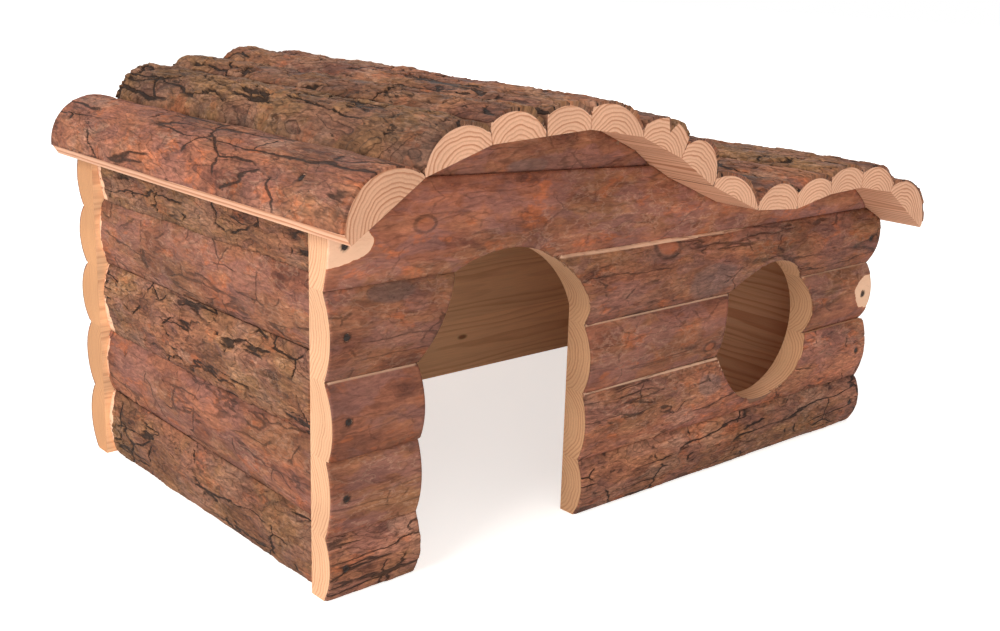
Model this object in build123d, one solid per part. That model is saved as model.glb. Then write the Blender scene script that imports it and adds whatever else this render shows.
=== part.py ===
from build123d import *
import math
import os

# A small house for rabbits, nailed together from half-round slabs of softwood with the bark left on.
# All sizes are in millimetres. X runs along the front wall, Y from the front to the back, Z is up.
# Until the last step the zero is on the ground where the front wall's inner face meets its left end.

# Walls
wall_length = 400.0
room_depth = 214.0
crest_height = 208.0
plank_edge = 11.0
plank_bulge = 16.0
side_wall_inset = 0.6

# Roof
front_overhang = 45.0
back_overhang = 21.0
slat_thickness = 14.0
slat_gap = 0.4
cleft_width = 7.0
cleft_depth = 6.5
cleft_slat = 6

# Doorway, with a slanted left shoulder between two seams and a round right one.
# The crown reaches into the lintel plank, and the right curve starts above the seam below it.
door_left = 49.5
door_width = 105.5
door_crown_bite = 8.4
door_spring_rise = 8.1
door_shoulder_share = 0.2
door_crown_share = 0.47

# Round window, placed from the front wall's right end. It leaves a sill in the row below it
# and reaches into the row above it.
window_from_right = 100.0
window_sill = 5.5
window_bite = 15.2

# Nails
nail_diameter = 1.6
nail_length = 30.0
nail_head_diameter = 3.2
nail_head_thickness = 0.8
nail_hole_clearance = 0.05

# How far a cutting solid reaches past what it cuts
overrun = 20.0

# The roof's underside from left to right: a high hump, a trough and a low hump.
# Each point is a joint between two slats, in shares of wall_length and crest_height.
roof_joint_shares = [
    (-0.0235, 0.819), (0.0675, 0.935), (0.155, 0.987), (0.232, 0.994), (0.2985, 1.0),
    (0.384, 0.9735), (0.454, 0.9155), (0.5165, 0.84), (0.609, 0.7635), (0.6925, 0.7505),
    (0.767, 0.775), (0.838, 0.78), (0.913, 0.754), (1.003, 0.635),
]

# Each slat from left to right, in shares of slat_thickness: the height of its left side, of its
# crown at the front end and at the back end, and of its right side, and then the crown's place
# across the slat.
slat_form_shares = [
    (0.42, 1.14, 1.2, 0.1, 0.33), (0.15, 1.0, 1.08, 0.36, 0.5), (0.64, 0.93, 1.0, 0.15, 0.45),
    (0.64, 0.89, 1.2, 0.43, 0.45), (0.71, 0.94, 1.08, 0.15, 0.4), (0.43, 1.05, 1.0, 0.75, 0.55),
    (0.5, 1.07, 0.98, 0.3, 0.62), (0.3, 0.75, 0.8, 0.1, 0.45), (0.35, 1.0, 0.9, 0.65, 0.5),
    (0.6, 0.9, 0.82, 0.5, 0.5), (0.65, 0.95, 0.75, 0.62, 0.5), (0.6, 0.92, 0.62, 0.4, 0.6),
    (0.3, 1.07, 1.0, 0.15, 0.6),
]

# Seams between the rows of planks, from the ground up, at both ends of each wall, in shares of
# crest_height.
front_seam_shares = [
    (0.0, 0.0), (0.149, 0.149), (0.3265, 0.3285), (0.4976, 0.503), (0.69, 0.672), (0.915, 0.824),
]
back_seam_shares = [
    (0.0, 0.0), (0.185, 0.181), (0.363, 0.37), (0.527, 0.532), (0.681, 0.69), (0.845, 0.838),
]
side_seam_shares = [(0.0, 0.0), (0.163, 0.181), (0.353, 0.349), (0.54, 0.534), (0.715, 0.705)]

# The thickness of each row at its low edge, its bulge and its high edge, first at the wall's
# starting end and then at its far end, in shares of plank_edge, plank_bulge and plank_edge.
front_form_shares = [
    ((0.9, 0.94, 1.03), (0.75, 0.96, 1.0)), ((1.03, 0.98, 1.1), (1.0, 1.0, 1.15)),
    ((1.3, 1.08, 1.02), (0.85, 1.04, 1.0)), ((1.02, 1.0, 0.95), (1.0, 1.16, 1.3)),
    ((0.95, 0.93, 1.1), (1.2, 1.15, 1.0)), ((1.05, 0.95, 0.9), (1.0, 0.95, 0.9)),
]
back_form_shares = [
    ((0.95, 1.12, 1.0), (0.9, 1.0, 1.05)), ((1.0, 1.18, 1.05), (1.05, 0.96, 1.0)),
    ((1.1, 1.3, 1.1), (0.98, 1.02, 0.95)), ((1.1, 1.26, 1.15), (1.0, 1.08, 1.0)),
    ((1.15, 1.2, 1.05), (0.95, 0.98, 1.0)), ((0.95, 1.0, 0.9), (1.0, 0.95, 0.9)),
]
side_form_shares = [
    ((0.95, 1.0, 1.0), (0.9, 0.88, 0.95)), ((1.0, 1.0, 0.95), (0.9, 0.86, 0.9)),
    ((1.0, 1.0, 1.0), (0.95, 0.84, 0.9)), ((0.95, 1.0, 1.0), (0.9, 0.88, 0.95)),
    ((1.0, 1.0, 0.95), (0.95, 0.9, 0.9)),
]
bulge_height_share = 0.56

# The front wall's rows from the ground up
row_names = ["plank_e", "plank_d", "plank_c", "plank_b", "lintel_plank", "cap_plank"]
upright = Vector(0, 0, 1)


# Roof geometry


def joint_points():
    """Return the joints of the roof's underside as vectors in the XZ plane."""
    return [Vector(x * wall_length, 0, z * crest_height) for x, z in roof_joint_shares]


def chord_normals(points):
    """Return the upward unit normal of each slat's flat underside."""
    chords = [(after - before).normalized() for before, after in zip(points, points[1:])]
    return [Vector(-chord.Z, 0, chord.X) for chord in chords]


def side_directions(normals):
    """Return the direction in which two neighbouring slats meet at each joint."""
    paired = zip([normals[0]] + normals, normals + [normals[-1]])
    return [(left + right).normalized() for left, right in paired]


joints = joint_points()
normals = chord_normals(joints)
side_lines = side_directions(normals)
roof_front = -front_overhang
roof_back = room_depth + back_overhang


def bark_circle(low_edge, bulge, high_edge):
    """Return the centre and the radius of the log's outside in one section of a slab."""
    arc = ThreePointArc(low_edge, bulge, high_edge)
    return arc.arc_center, arc.radius


def log_between(start, finish):
    """Return the log that a slab is sawn from. Each end is a plane at its centre and a radius."""
    return loft([plane * Circle(radius) for plane, radius in (start, finish)], ruled=True)


def slat_corners(index):
    """Return a slat's foot and its top where it meets its left neighbour and its right one."""
    left_share, _, _, right_share, _ = slat_form_shares[index]
    along = (joints[index + 1] - joints[index]).normalized()
    low_left = joints[index] + along * (slat_gap / 2)
    low_right = joints[index + 1] - along * (slat_gap / 2)
    high_left = low_left + side_lines[index] * (left_share * slat_thickness)
    high_right = low_right + side_lines[index + 1] * (right_share * slat_thickness)
    return low_left, high_left, high_right, low_right


def slat_log_end(index, crown_height, y):
    """Return one end of a slat's log: a plane at its centre, and its radius."""
    low_left, high_left, high_right, low_right = slat_corners(index)
    place_share = slat_form_shares[index][4]
    crown = low_left + (low_right - low_left) * place_share + normals[index] * crown_height
    centre, radius = bark_circle(*[(p.X, p.Z) for p in (high_left, crown, high_right)])
    plane = Plane(origin=(centre.X, y, centre.Y), x_dir=normals[index] * -1, z_dir=(0, -1, 0))
    return plane, radius


def cleft_cutter(index):
    """Return the wedge cut along a slat that grew from two stems."""
    place_share = slat_form_shares[index][4]
    bottom = joints[index] + (joints[index + 1] - joints[index]) * place_share
    bottom = bottom + normals[index] * (slat_form_shares[index][1] * slat_thickness - cleft_depth)
    plane = Plane(origin=(bottom.X, roof_front - overrun, bottom.Z), x_dir=(1, 0, 0), z_dir=(0, -1, 0))
    reach = cleft_depth + overrun
    half = cleft_width / 2 * reach / cleft_depth
    tilt = normals[index]
    across = Vector(tilt.Z, 0, -tilt.X)
    tops = [tilt * reach + across * half, tilt * reach - across * half]
    wedge = make_face(Polyline((0, 0), (tops[0].X, tops[0].Z), (tops[1].X, tops[1].Z), close=True))
    return extrude(plane * wedge, amount=-(roof_back - roof_front + 2 * overrun))


def roof_slat(index):
    """Return one slat: flat below, sawn at the sides, round on top, with its own crown at each end."""
    _, front_share, back_share, _, _ = slat_form_shares[index]
    log = log_between(
        slat_log_end(index, front_share * slat_thickness, roof_front),
        slat_log_end(index, back_share * slat_thickness, roof_back),
    )
    low_left, _, _, low_right = slat_corners(index)
    reach = slat_thickness + overrun
    tops = [low_right + side_lines[index + 1] * reach, low_left + side_lines[index] * reach]
    outline = [(p.X, p.Z) for p in (low_left, low_right, *tops)]
    plane = Plane(origin=(0, roof_front, 0), x_dir=(1, 0, 0), z_dir=(0, -1, 0))
    sawn = extrude(plane * make_face(Polyline(*outline, close=True)), amount=roof_front - roof_back)
    slat = sawn & log
    if index + 1 == cleft_slat:
        slat = slat - cleft_cutter(index)
    return slat


def space_under_roof():
    """Return the space below the slats, which cuts the tops of all the walls."""
    first, last = joints[0], joints[-1]
    outline = [(p.X, p.Z) for p in joints]
    outline += [(last.X + overrun, last.Z), (last.X + overrun, -overrun)]
    outline += [(first.X - overrun, -overrun), (first.X - overrun, first.Z)]
    plane = Plane(origin=(0, roof_front, 0), x_dir=(1, 0, 0), z_dir=(0, -1, 0))
    return extrude(plane * make_face(Polyline(*outline, close=True)), amount=roof_front - roof_back)


# Openings in the front wall


def through_front_wall(face):
    """Return a solid of the face's outline that passes right through the front wall."""
    plane = Plane(origin=(0, overrun, 0), x_dir=(1, 0, 0), z_dir=(0, -1, 0))
    return extrude(plane * face, amount=2 * (plank_bulge + overrun))


def seam_below(row_name, x):
    """Return the height of the seam below one of the front wall's rows."""
    start_share, finish_share = front_seam_shares[row_names.index(row_name)]
    return (start_share + (finish_share - start_share) * x / wall_length) * crest_height


def doorway():
    """Return the doorway: straight jambs, a slanted left shoulder and an arc to the right."""
    right = door_left + door_width
    shoulder_x = door_left + door_shoulder_share * door_width
    crown_x = door_left + door_crown_share * door_width
    shoulder_low = (door_left, seam_below("plank_b", door_left))
    shoulder_high = (shoulder_x, seam_below("lintel_plank", shoulder_x))
    crown = (crown_x, seam_below("lintel_plank", crown_x) + door_crown_bite)
    spring = (right, seam_below("plank_b", right) + door_spring_rise)
    outline = [
        Line((door_left, -overrun), shoulder_low),
        Line(shoulder_low, shoulder_high),
        ThreePointArc(shoulder_high, crown, spring),
        Line(spring, (right, -overrun)),
        Line((right, -overrun), (door_left, -overrun)),
    ]
    return through_front_wall(make_face(outline))


def window():
    """Return the round window."""
    x = wall_length - window_from_right
    bottom = seam_below("plank_d", x) + window_sill
    top = seam_below("plank_b", x) + window_bite
    return through_front_wall(Location((x, (bottom + top) / 2)) * Circle((top - bottom) / 2))


# Walls of half-round planks


def plank_log_end(corner, outward, low, high, form_shares):
    """Return one end of a plank's log: a plane at its centre, and its radius."""
    low_share, bulge_share, high_share = form_shares
    centre, radius = bark_circle(
        (low_share * plank_edge, low),
        (bulge_share * plank_bulge, low + (high - low) * bulge_height_share),
        (high_share * plank_edge, high),
    )
    origin = corner + outward * centre.X + upright * centre.Y
    return Plane(origin=origin, x_dir=outward * -1, z_dir=outward.cross(upright)), radius


def wall_rows(start, finish, outward, seam_shares, row_form_shares):
    """Return the planks of one wall from the ground up, cut to the roof's underside."""
    top = crest_height + overrun
    seams = [(a * crest_height, b * crest_height) for a, b in seam_shares] + [(top, top)]
    rows = []
    for lower, upper, (start_form, finish_form) in zip(seams, seams[1:], row_form_shares):
        log = log_between(
            plank_log_end(start, outward, lower[0], upper[0], start_form),
            plank_log_end(finish, outward, lower[1], upper[1], finish_form),
        )
        outline = Polyline(
            start + upright * lower[0], finish + upright * lower[1],
            finish + upright * upper[1], start + upright * upper[0], close=True,
        )
        sawn = extrude(make_face(outline), amount=plank_bulge + overrun, dir=outward)
        rows.append(sawn & log & under_roof)
    return [row for row in rows if row is not None and row.volume > 0]


under_roof = space_under_roof()
side_left_inner = side_wall_inset + plank_bulge
side_right_inner = wall_length - side_left_inner

front_rows = wall_rows(
    Vector(0, 0, 0), Vector(wall_length, 0, 0), Vector(0, -1, 0),
    front_seam_shares, front_form_shares,
)
back_rows = wall_rows(
    Vector(0, room_depth, 0), Vector(wall_length, room_depth, 0), Vector(0, 1, 0),
    back_seam_shares, back_form_shares,
)
left_rows = wall_rows(
    Vector(side_left_inner, 0, 0), Vector(side_left_inner, room_depth, 0), Vector(-1, 0, 0),
    side_seam_shares, side_form_shares,
)
right_rows = wall_rows(
    Vector(side_right_inner, 0, 0), Vector(side_right_inner, room_depth, 0), Vector(1, 0, 0),
    side_seam_shares, side_form_shares,
)


# Nails, each given by the point where its head meets the bark and by the way it was driven


def roof_height_at(x):
    """Return the height of the roof's underside above one place along the wall."""
    for before, after in zip(joints, joints[1:]):
        if before.X <= x <= after.X:
            return before.Z + (after.Z - before.Z) * (x - before.X) / (after.X - before.X)
    return min(joints[0].Z, joints[-1].Z)


def between(start, finish, share):
    """Return the value that lies a share of the way from one value to another."""
    return start + (finish - start) * share


def corner_nails(seam_shares, form_shares, wall_y, outward, x):
    """Return the nails that join one end of a long wall to a side wall, one for each plank."""
    far_share = x / wall_length
    tops = [(crest_height + overrun) / crest_height] * 2
    nails = []
    for lower, upper, forms in zip(seam_shares, seam_shares[1:] + [tops], form_shares):
        ends = [
            plank_log_end(Vector(0, wall_y, 0), outward, low * crest_height, high * crest_height, form)
            for low, high, form in zip(lower, upper, forms)
        ]
        radius = between(ends[0][1], ends[1][1], far_share)
        centre = between(ends[0][0].origin, ends[1][0].origin, far_share)
        low = between(*lower, far_share) * crest_height
        high = min(between(*upper, far_share) * crest_height, roof_height_at(x))
        if high - low > 2 * nail_head_diameter:
            z = (low + high) / 2
            depth = math.sqrt(radius**2 - (z - centre.Z) ** 2)
            nails.append((Vector(x, centre.Y, z) + outward * depth, outward * -1))
    return nails


def roof_nails(y):
    """Return the nails that fasten the slats to one long wall, one for each slat."""
    depth_share = (y - roof_front) / (roof_back - roof_front)
    nails = []
    for index, (_, front_share, back_share, _, place_share) in enumerate(slat_form_shares):
        crown_height = (front_share + (back_share - front_share) * depth_share) * slat_thickness
        if index + 1 == cleft_slat:
            crown_height = crown_height - cleft_depth
        foot = joints[index] + (joints[index + 1] - joints[index]) * place_share
        nails.append((Vector(foot.X, y, foot.Z) + normals[index] * crown_height, normals[index] * -1))
    return nails


def nail_solid(head_point, direction):
    """Return one nail, whose head lies flush with the bark."""
    head = Cylinder(nail_head_diameter / 2, nail_head_thickness, align=from_the_head)
    shank = Cylinder(nail_diameter / 2, nail_length, align=from_the_head)
    return Plane(origin=head_point, z_dir=direction) * (head + shank)


def nail_hole(head_point, direction):
    """Return the hole that a nail sits in, open to the outside above its head."""
    head = Cylinder(
        nail_head_diameter / 2 + nail_hole_clearance,
        2 * (nail_head_thickness + nail_hole_clearance),
    )
    shank = Cylinder(
        nail_diameter / 2 + nail_hole_clearance,
        nail_length + nail_hole_clearance,
        align=from_the_head,
    )
    return Plane(origin=head_point, z_dir=direction) * (head + shank)


def drilled(piece, holes):
    """Return the piece with the nail holes that reach it."""
    box = piece.bounding_box()
    near = [hole for hole in holes if boxes_touch(box, hole.bounding_box())]
    return piece - near if near else piece


def boxes_touch(first, second):
    """Say whether two bounding boxes meet."""
    pairs = zip(first.min, first.max, second.min, second.max)
    return all(low_a <= high_b and low_b <= high_a for low_a, high_a, low_b, high_b in pairs)


from_the_head = (Align.CENTER, Align.CENTER, Align.MIN)
corner_left_x = side_left_inner / 2
corner_right_x = wall_length - corner_left_x
front_wall = (front_seam_shares, front_form_shares, 0, Vector(0, -1, 0))
back_wall = (back_seam_shares, back_form_shares, room_depth, Vector(0, 1, 0))
nail_groups = {
    "front_left_corner_nails": corner_nails(*front_wall, corner_left_x),
    "front_right_corner_nails": corner_nails(*front_wall, corner_right_x),
    "back_left_corner_nails": corner_nails(*back_wall, corner_left_x),
    "back_right_corner_nails": corner_nails(*back_wall, corner_right_x),
    "front_roof_nails": roof_nails(-plank_edge / 2),
    "back_roof_nails": roof_nails(room_depth + plank_edge / 2),
}
nail_holes = [nail_hole(*nail) for group in nail_groups.values() for nail in group]


# All the pieces, by name


def place_names(count):
    """Return the endings that tell the parts of a cut row apart, from left to right."""
    endings = {1: [""], 2: ["_left", "_right"], 3: ["_left", "_middle", "_right"]}
    return endings.get(count, [f"_{number}" for number in range(1, count + 1)])


pieces = {}

for row_name, row in zip(row_names, front_rows):
    parts = sorted((row - doorway() - window()).solids(), key=lambda solid: solid.center().X)
    for ending, solid in zip(place_names(len(parts)), parts):
        pieces[f"front_{row_name}{ending}"] = solid

for wall, rows in [("back", back_rows), ("left", left_rows), ("right", right_rows)]:
    for number, row in enumerate(rows, start=1):
        pieces[f"{wall}_plank_{number}"] = row

for index in range(len(slat_form_shares)):
    pieces[f"roof_slat_{index + 1:02d}"] = roof_slat(index)

pieces = {name: drilled(piece, nail_holes) for name, piece in pieces.items()}

for name, group in nail_groups.items():
    pieces[name] = Compound(children=[nail_solid(*nail) for nail in group])

# The origin goes to the ground under the middle of the whole house.
whole = Compound(children=[Compound(piece.solids()) for piece in pieces.values()]).bounding_box()
to_origin = Location((-(whole.min.X + whole.max.X) / 2, -(whole.min.Y + whole.max.Y) / 2, 0))

os.makedirs("parts", exist_ok=True)
for name, piece in pieces.items():
    solids = [to_origin * solid for solid in piece.solids()]
    export_step(solids[0] if len(solids) == 1 else Compound(children=solids), f"parts/{name}.step")

print("overall size", [round(size, 1) for size in whole.size])
print("move to the origin", [round(value, 3) for value in to_origin.position])
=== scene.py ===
"""Dress the rabbit house: flaky bark on every slab, sawn wood with growth rings, nails, floor, lamps."""

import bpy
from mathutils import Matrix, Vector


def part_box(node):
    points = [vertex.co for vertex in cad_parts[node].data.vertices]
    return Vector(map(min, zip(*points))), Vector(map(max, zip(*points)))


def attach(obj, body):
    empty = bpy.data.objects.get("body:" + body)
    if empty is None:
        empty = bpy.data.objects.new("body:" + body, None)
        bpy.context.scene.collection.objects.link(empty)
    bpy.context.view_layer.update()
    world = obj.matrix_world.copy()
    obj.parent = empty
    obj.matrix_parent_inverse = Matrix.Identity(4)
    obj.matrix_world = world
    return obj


bl_info = {
    "name": "Rabbit house of bark slabs",
    "version": (1, 0, 0),
    "blender": (4, 5, 0),
    "location": "3D View > Sidebar > Rabbit house",
    "description": "Adds bark, sawn wood, nails, a floor and lamps to the packed rabbit house",
    "category": "Object",
}

import math

import bmesh
import bpy
from bpy.props import FloatProperty, FloatVectorProperty, PointerProperty, StringProperty
from mathutils import Matrix, Vector

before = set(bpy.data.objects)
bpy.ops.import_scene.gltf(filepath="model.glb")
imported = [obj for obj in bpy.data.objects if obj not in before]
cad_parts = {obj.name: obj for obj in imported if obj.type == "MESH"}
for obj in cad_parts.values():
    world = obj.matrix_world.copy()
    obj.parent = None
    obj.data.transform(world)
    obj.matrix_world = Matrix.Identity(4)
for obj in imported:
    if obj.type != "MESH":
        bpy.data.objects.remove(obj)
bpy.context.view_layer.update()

MM = 0.001
BODY = "root"

# Farther off than any part of the house, in metres, and a spot and a knot that are that far, in millimetres
FAR = 9.0
NO_SPOT = (FAR / MM, FAR / MM, 1000, 1000)
NO_KNOT = (FAR / MM, FAR / MM, 0)

PARTS = ["front", "back", "left", "right", "roof"]
SLABS = sorted(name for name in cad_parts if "plank" in name or "slat" in name)
NAILS = sorted(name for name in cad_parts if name.endswith("nails"))

# Which way each wall's bark faces, and which way its planks run
WALLS = {
    "front": (Vector((0, -1, 0)), Vector((1, 0, 0))),
    "back": (Vector((0, 1, 0)), Vector((-1, 0, 0))),
    "left": (Vector((-1, 0, 0)), Vector((0, -1, 0))),
    "right": (Vector((1, 0, 0)), Vector((0, 1, 0))),
}
SLAT_RUN = Vector((0, 1, 0))
EAVE_SLATS = ("roof_slat_01", "roof_slat_13")

# Sawn wood: how much darker the summer lines are, and painted shade on the end faces, darker where the lamps
# reach little
# The back wall's summer lines are fainter as painted light, which brightens the inside of the house.
RING_CONTRAST = {"roof": 1.0, "front": 0.7, "left": 0.7, "right": 0.7, "back": 0.42}
END_PAINTED_SHADE = {
    "back": (0.66, 0.54, 0.44),
    "jamb": (0.82, 0.8, 0.74),
    "front": (0.95, 0.93, 0.92),
    "roof_slat_01": (0.86, 0.84, 0.82),
}
NO_END_SHADE = (1.0, 1.0, 1.0)

# The small knot on the back wall's inner face that shows through the doorway, its heart and its edge
INNER_KNOT = (0.0672, 0.1190, 0.0247)
INNER_HEART = 0.8 * MM
INNER_EDGE = 2.2 * MM

# How the bark of single slabs differs from its wall's. Shade, roughness, cracks and pale edge are
# factors. Greyness goes from red-brown at 0 to grey-brown at 1. A bare spot or grey patch is given by
# its x and z and its half lengths along and across the slab, and a knot by its x, z and radius, all in
# millimetres. Pale end is the x where the pale edge ends. Shaved is the length, from the slab's far
# end, where a drawknife took the bark off.
SLAB_BARK = {
    "front_plank_e_left": {
        "shade": 1.22, "greyness": 0.6, "roughness": 1.6, "cracks": 2.6, "pale_edge": 0.45,
    },
    "front_plank_d_left": {"greyness": 0.15, "roughness": 0.6, "cracks": 1.2},
    "front_plank_c_left": {"shade": 0.81, "greyness": 0.1, "roughness": 0.6, "cracks": 0.7, "pale_edge": 0.7},
    "front_plank_b_left": {
        "shade": 0.88, "greyness": 0.2, "roughness": 0.7, "cracks": 1.4, "patch": (-160.8, 139.0, 14, 4),
    },
    "front_lintel_plank": {
        "shade": 1.1, "greyness": 0.15, "roughness": 0.9, "cracks": 0.8,
        "bare": (-198.5, 163.5, 27, 10), "patch": (80.0, 160.0, 22, 5), "knot": (-145.4, 167.9, 5),
    },
    "front_cap_plank": {"greyness": 0.3, "roughness": 0.8, "patch": (-83.5, 188.0, 13, 4)},
    "front_plank_b_right": {
        "shade": 0.94, "greyness": 0.3, "roughness": 1.3, "cracks": 1.8, "pale_edge": 2.0, "pale_end": 90,
        "patch": (51.8, 115.3, 19, 10), "knot": (15.0, 138.1, 8),
    },
    "front_plank_c_middle": {
        "shade": 0.96, "greyness": 0.1, "roughness": 0.7, "pale_edge": 1.5, "knot": (53.4, 77.5, 4),
    },
    "front_plank_c_right": {
        "greyness": 0.2, "roughness": 0.8, "pale_edge": 0.6, "bare": (207.0, 87.0, 19, 11),
    },
    "front_plank_d_right": {
        "shade": 1.16, "greyness": 0.2, "cracks": 2.2, "pale_edge": 1.4, "pale_end": 110,
        "patch": (56.0, 54.5, 10, 6),
    },
    "front_plank_e_right": {"greyness": 0.5, "roughness": 1.5, "cracks": 3.0},
    "left_plank_1": {"greyness": 0.7, "shaved": 4},
    "left_plank_2": {"greyness": 0.1, "roughness": 0.5, "cracks": 0.6, "shaved": 2},
    "left_plank_3": {"shade": 1.07, "greyness": 0.6, "roughness": 1.3, "shaved": 4.5},
    "left_plank_4": {"greyness": 0.12, "roughness": 0.5, "cracks": 0.6, "shaved": 2},
    "left_plank_5": {"greyness": 0.8, "roughness": 1.2, "shaved": 5},
    "roof_slat_01": {"greyness": 0.15, "roughness": 0.55, "cracks": 0.75},
    "roof_slat_02": {"shade": 0.88, "greyness": 0.85, "roughness": 1.15},
    "roof_slat_03": {"shade": 0.84, "greyness": 0.7, "roughness": 1.2},
}

# Where the shell of bark lies: how squarely the slab turns outward there, how high above the sawn side
# it begins, as a share of the slab's thickness, and how deep in the slab the shell's underside is
LEAST_FACING = 0.3
LEAST_DEPTH_SHARE = 0.06
SUNK = 0.4 * MM

# How far the shell stands off the slab at least, and off bare wood. A point this near to a nail is on
# its head, and the shell drops there.
LEAST_BARK = 0.5 * MM
LEAST_BARE = 0.04 * MM
ON_NAIL = 0.03 * MM
HEAD_DROP = 0.25 * MM

# From how near points are pulled to the slab's outline and to a nail, in steps of the bark's grid
OUTLINE_STEPS = 6.0
NAIL_STEPS = 0.7

# How near two points of the shell and of a slab are merged, and below what size there is no knot and
# no shaved end
WELD = 0.0005 * MM
SLAB_WELD = 0.001 * MM
LEAST_MARK = 0.02 * MM

# Marks on the bark: the thinner rim, the pit round a nail, a knot's rise and the bends of its outline,
# the ragged line of a shaved end, and the pale line along a slab's upper edge
RIM_WIDTH = 4 * MM
PIT_BOTTOM = 0.2 * MM
PIT_TOP = 1.0 * MM
KNOT_RISE = 0.8 * MM
KNOT_BENDS = 2.5 * MM
RAGGED_LINE = 20 * MM
PALE_SOLID = 0.3 * MM
PALE_WIDTH = 1.3 * MM
PALE_STRIP = 9 * MM
PALE_FADE = 40 * MM

# Heights of the small bumps in each material, and how far in from a slat's side its painted shade reaches
BARK_BUMPS = 0.6 * MM
WOOD_BUMPS = 0.15 * MM
STEEL_BUMPS = 0.1 * MM
SHADED_SIDE = 0.2 * MM

# How far behind the sawn side the pith lies, as a share of the slab's thickness
NEAR_PITH_SHARE = 0.55
FAR_PITH_SHARE = 1.3

# The studio, in metres: each lamp's place, size and colour, the place that the lamps look at, half the
# floor's width, and the floor's warm glow
LAMPS = {
    "key": ((-2.2, -0.4, 1.3), 1.2, (1.0, 0.98, 0.95)),
    "fill": ((-1.03, -1.47, 0.35), 0.8, (1.0, 0.97, 0.94)),
    "back": ((1.6, 1.7, 0.8), 1.2, (1.0, 0.98, 0.96)),
}
LIT_MIDDLE = Vector((0.0, 0.0, 0.1))
FLOOR_HALF = 6.0
FLOOR_GLOW = (1.0, 0.975, 0.945, 1.0)
GLOW_STRENGTH = 0.66


def srgb(red, green, blue):
    """Turn a colour written as 0 to 255 into the linear values that sockets take."""
    shares = [value / 255 for value in (red, green, blue)]
    return tuple(s / 12.92 if s <= 0.04045 else ((s + 0.055) / 1.055) ** 2.4 for s in shares)


def length_prop(name, description, default):
    """Return a length of the add-on's settings."""
    return FloatProperty(name=name, description=description, default=default, min=0.0, unit="LENGTH")


def share_prop(name, description, default):
    """Return a share from 0 to 1 of the add-on's settings."""
    return FloatProperty(
        name=name, description=description, default=default, min=0.0, soft_max=1.0, subtype="FACTOR"
    )


def colour_prop(name, description, default):
    """Return a colour of the add-on's settings."""
    return FloatVectorProperty(
        name=name, description=description, default=default, min=0.0, max=1.0, size=3, subtype="COLOR"
    )


def power_prop(name, description, default):
    """Return the power of a lamp."""
    return FloatProperty(name=name, description=description, default=default, min=0.0)


def angle_prop(name, description, degrees):
    """Return an angle of the add-on's settings."""
    return FloatProperty(name=name, description=description, default=math.radians(degrees), subtype="ANGLE")


class HouseBarkColours(bpy.types.PropertyGroup):
    """Colours that all the bark shares."""

    red_scale: colour_prop("Red scale", "Outer scales of red-brown bark", srgb(173, 109, 82))
    red_deep: colour_prop("Red deep", "Between the scales of red-brown bark", srgb(108, 63, 50))
    grey_scale: colour_prop("Grey scale", "Outer scales of grey-brown bark", srgb(149, 107, 73))
    grey_deep: colour_prop("Grey deep", "Between the scales of grey-brown bark", srgb(84, 57, 38))
    purple_skin: colour_prop("Purple skin", "Smooth purple-grey patches", srgb(142, 97, 87))
    pale_skin: colour_prop("Pale skin", "Pale patches where a scale fell off the roof", srgb(190, 148, 122))
    orange_fleck: colour_prop("Orange fleck", "Fresh inner bark", srgb(184, 102, 62))
    # This colour also paints the shade under the scales' edges and in the pits round nails.
    crack: colour_prop("Crack", "The bottom of cracks", srgb(38, 26, 20))
    grey_patch: colour_prop("Grey patch", "Smooth grey patches of single slabs", srgb(120, 94, 86))


def bark_props(relief, flake_length, flake_width, crack_depth, cracks, shade):
    """Return the settings of one kind of bark. Their lengths are given in millimetres."""
    return {
        "relief": length_prop("Relief", "Height of the scales", relief * MM),
        "flake_length": length_prop("Scale length", "Length of a scale along the slab", flake_length * MM),
        "flake_width": length_prop("Scale width", "Width of a scale across the slab", flake_width * MM),
        "crack_depth": length_prop("Crack depth", "Depth of the cracks", crack_depth * MM),
        "cracks": share_prop("Cracks", "How dark and deep the cracks are", cracks),
        "shade": share_prop("Shade", "Brightness of the bark", shade),
        "grid": length_prop("Grid", "Distance between the points of the bark", 1.0 * MM),
    }


class HouseFrontBark(bpy.types.PropertyGroup):
    """Bark of the front and back walls, thin and smooth."""

    __annotations__ = bark_props(1.2, 26, 9, 0.9, cracks=0.28, shade=0.95)


class HouseSideBark(bpy.types.PropertyGroup):
    """Bark of the side walls, scaly and cracked."""

    __annotations__ = bark_props(2.3, 24, 11, 1.6, cracks=0.85, shade=0.82)


class HouseRoofBark(bpy.types.PropertyGroup):
    """Bark of the roof slats, thick and fissured."""

    __annotations__ = bark_props(3.8, 38, 11, 2.2, cracks=1.0, shade=0.86)


class HouseWood(bpy.types.PropertyGroup):
    """Sawn wood below the bark."""

    ring_width: length_prop("Ring width", "Growth of one year", 1.8 * MM)
    early: colour_prop("Early wood", "Pale wood grown in spring", srgb(236, 186, 146))
    roof_early: colour_prop("Roof early wood", "The same on the pinker roof slats", srgb(237, 183, 149))
    # The back wall's early wood is paler as painted light, to brighten the inside of the house, which the
    # lamps reach little.
    back_early: colour_prop("Back early wood", "The same on the paler back wall", srgb(250, 202, 156))
    late: colour_prop("Late wood", "Dark lines grown in summer", srgb(196, 130, 94))
    knot: colour_prop("Knot", "Knots in the boards", srgb(96, 54, 30))
    # Colour of the painted shade on the slats' sides between them, and of the bark on the faces that turn
    # outward below the bark
    grime: colour_prop("Grime", "Dark sides between the slats", srgb(104, 66, 48))
    shaved: colour_prop("Shaved wood", "Wood where a knife took the bark off", srgb(255, 207, 172))


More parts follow.
